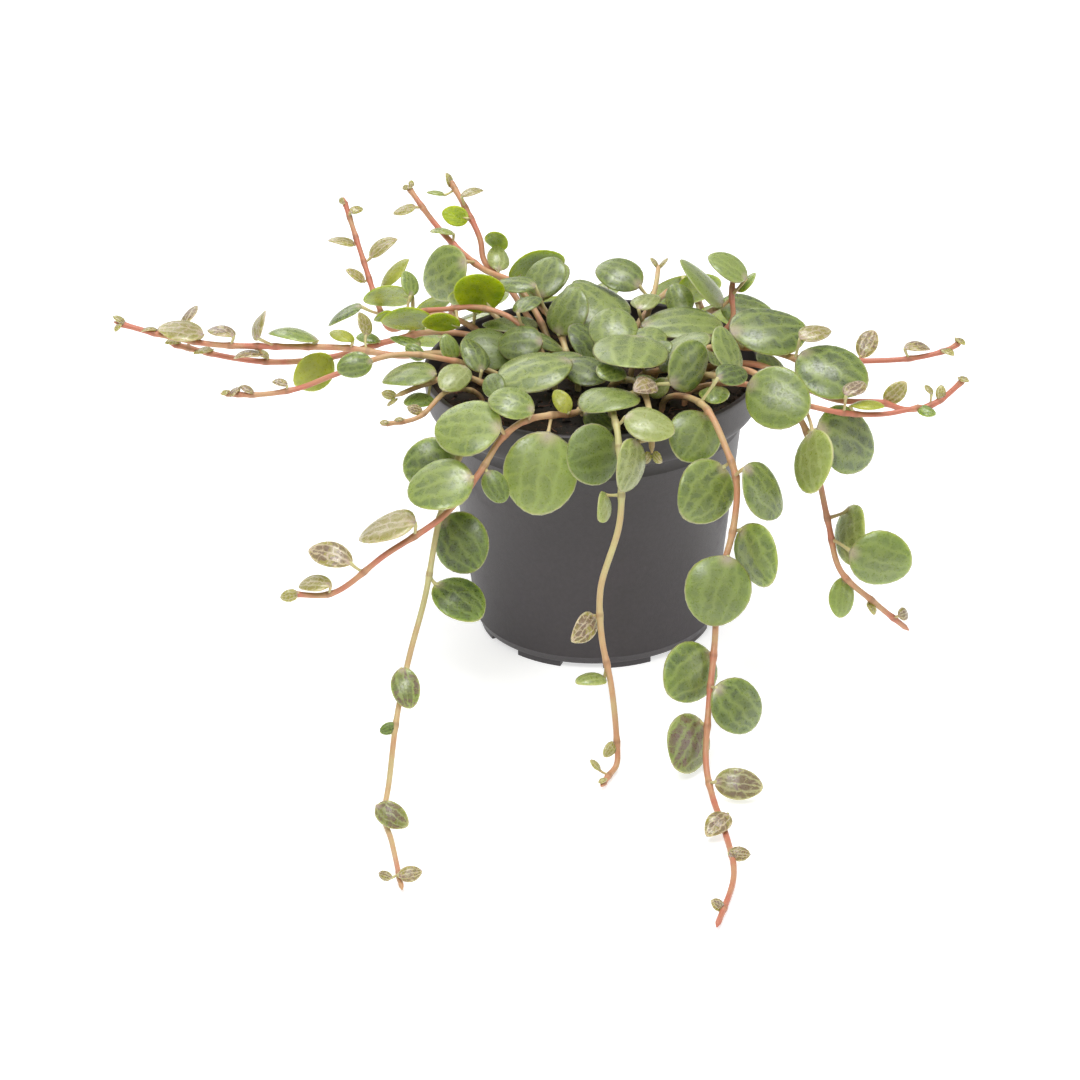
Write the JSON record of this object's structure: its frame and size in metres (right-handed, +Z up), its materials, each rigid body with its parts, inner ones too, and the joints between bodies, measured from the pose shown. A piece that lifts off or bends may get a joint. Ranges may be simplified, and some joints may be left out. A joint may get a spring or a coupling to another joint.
{
  "type": "potted plant",
  "caption": "Trailing peperomia with round patterned leaves on thin stems that spill over the rim of a small round nursery pot.",
  "frame": {"origin": "on the pot's axis, in the plane that its feet stand on", "axes": "+Z up along the pot's axis; -Y towards the front, where the longest stems trail; +X to the plant's right as seen from the front"},
  "size_m": [0.2126, 0.2223, 0.1018],
  "materials": {
    "pot": "matte, fine grained, dark grey",
    "soil": "rough, fibrous, dark brown",
    "foliage": "smooth, fleshy, softly shining"
  },
  "bodies": {
    "root": {"pot": "pot", "soil": "soil", "stem_back_hanging": "foliage", "stem_back_left": "foliage", "stem_back_left_high": "foliage", "stem_back_left_tall": "foliage", "stem_back_right": "foliage", "stem_crown_back": "foliage", "stem_crown_back_left": "foliage", "stem_crown_back_middle": "foliage", "stem_crown_centre": "foliage", "stem_crown_front": "foliage", "stem_crown_front_right": "foliage", "stem_crown_left": "foliage", "stem_crown_left_low": "foliage", "stem_crown_middle": "foliage", "stem_crown_right": "foliage", "stem_crown_right_back": "foliage", "stem_front_left": "foliage", "stem_front_left_trailing": "foliage", "stem_front_right_long": "foliage", "stem_front_trailing": "foliage", "stem_left_long": "foliage", "stem_left_low": "foliage", "stem_left_second": "foliage", "stem_left_short": "foliage", "stem_left_upright": "foliage", "stem_right_hanging": "foliage", "stem_right_low": "foliage", "stem_right_mid": "foliage", "stem_right_upper": "foliage", "stem_right_upright": "foliage"}
  },
  "joints": []
}
